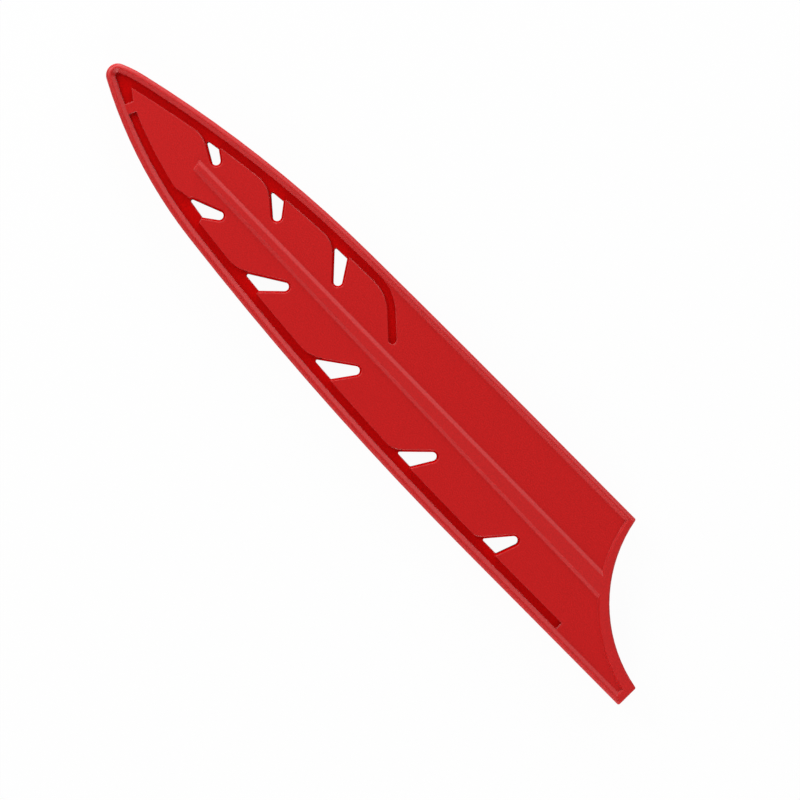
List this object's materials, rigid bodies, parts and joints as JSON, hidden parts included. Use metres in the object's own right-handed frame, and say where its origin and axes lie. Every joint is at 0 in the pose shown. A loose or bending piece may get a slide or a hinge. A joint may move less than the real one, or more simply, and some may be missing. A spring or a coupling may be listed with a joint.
{
  "type": "knife blade guard",
  "caption": "Slim moulded sheath for a kitchen knife blade, with a hollow mouth, slanted drying vents, edge grooves and a tapering centre rib.",
  "frame": {"origin": "middle of the footprint, on the back face that the guard lies on", "axes": "+X from the closed tip to the open mouth, +Y from the cutting edge to the spine, +Z from the back face to the front face"},
  "size_m": [0.218, 0.0384, 0.008],
  "materials": {
    "red_plastic": "satin red, with a fine moulded grain on the panels and smooth grooves"
  },
  "bodies": {
    "root": {"front_shell": "red_plastic", "back_shell": "red_plastic"}
  },
  "joints": []
}
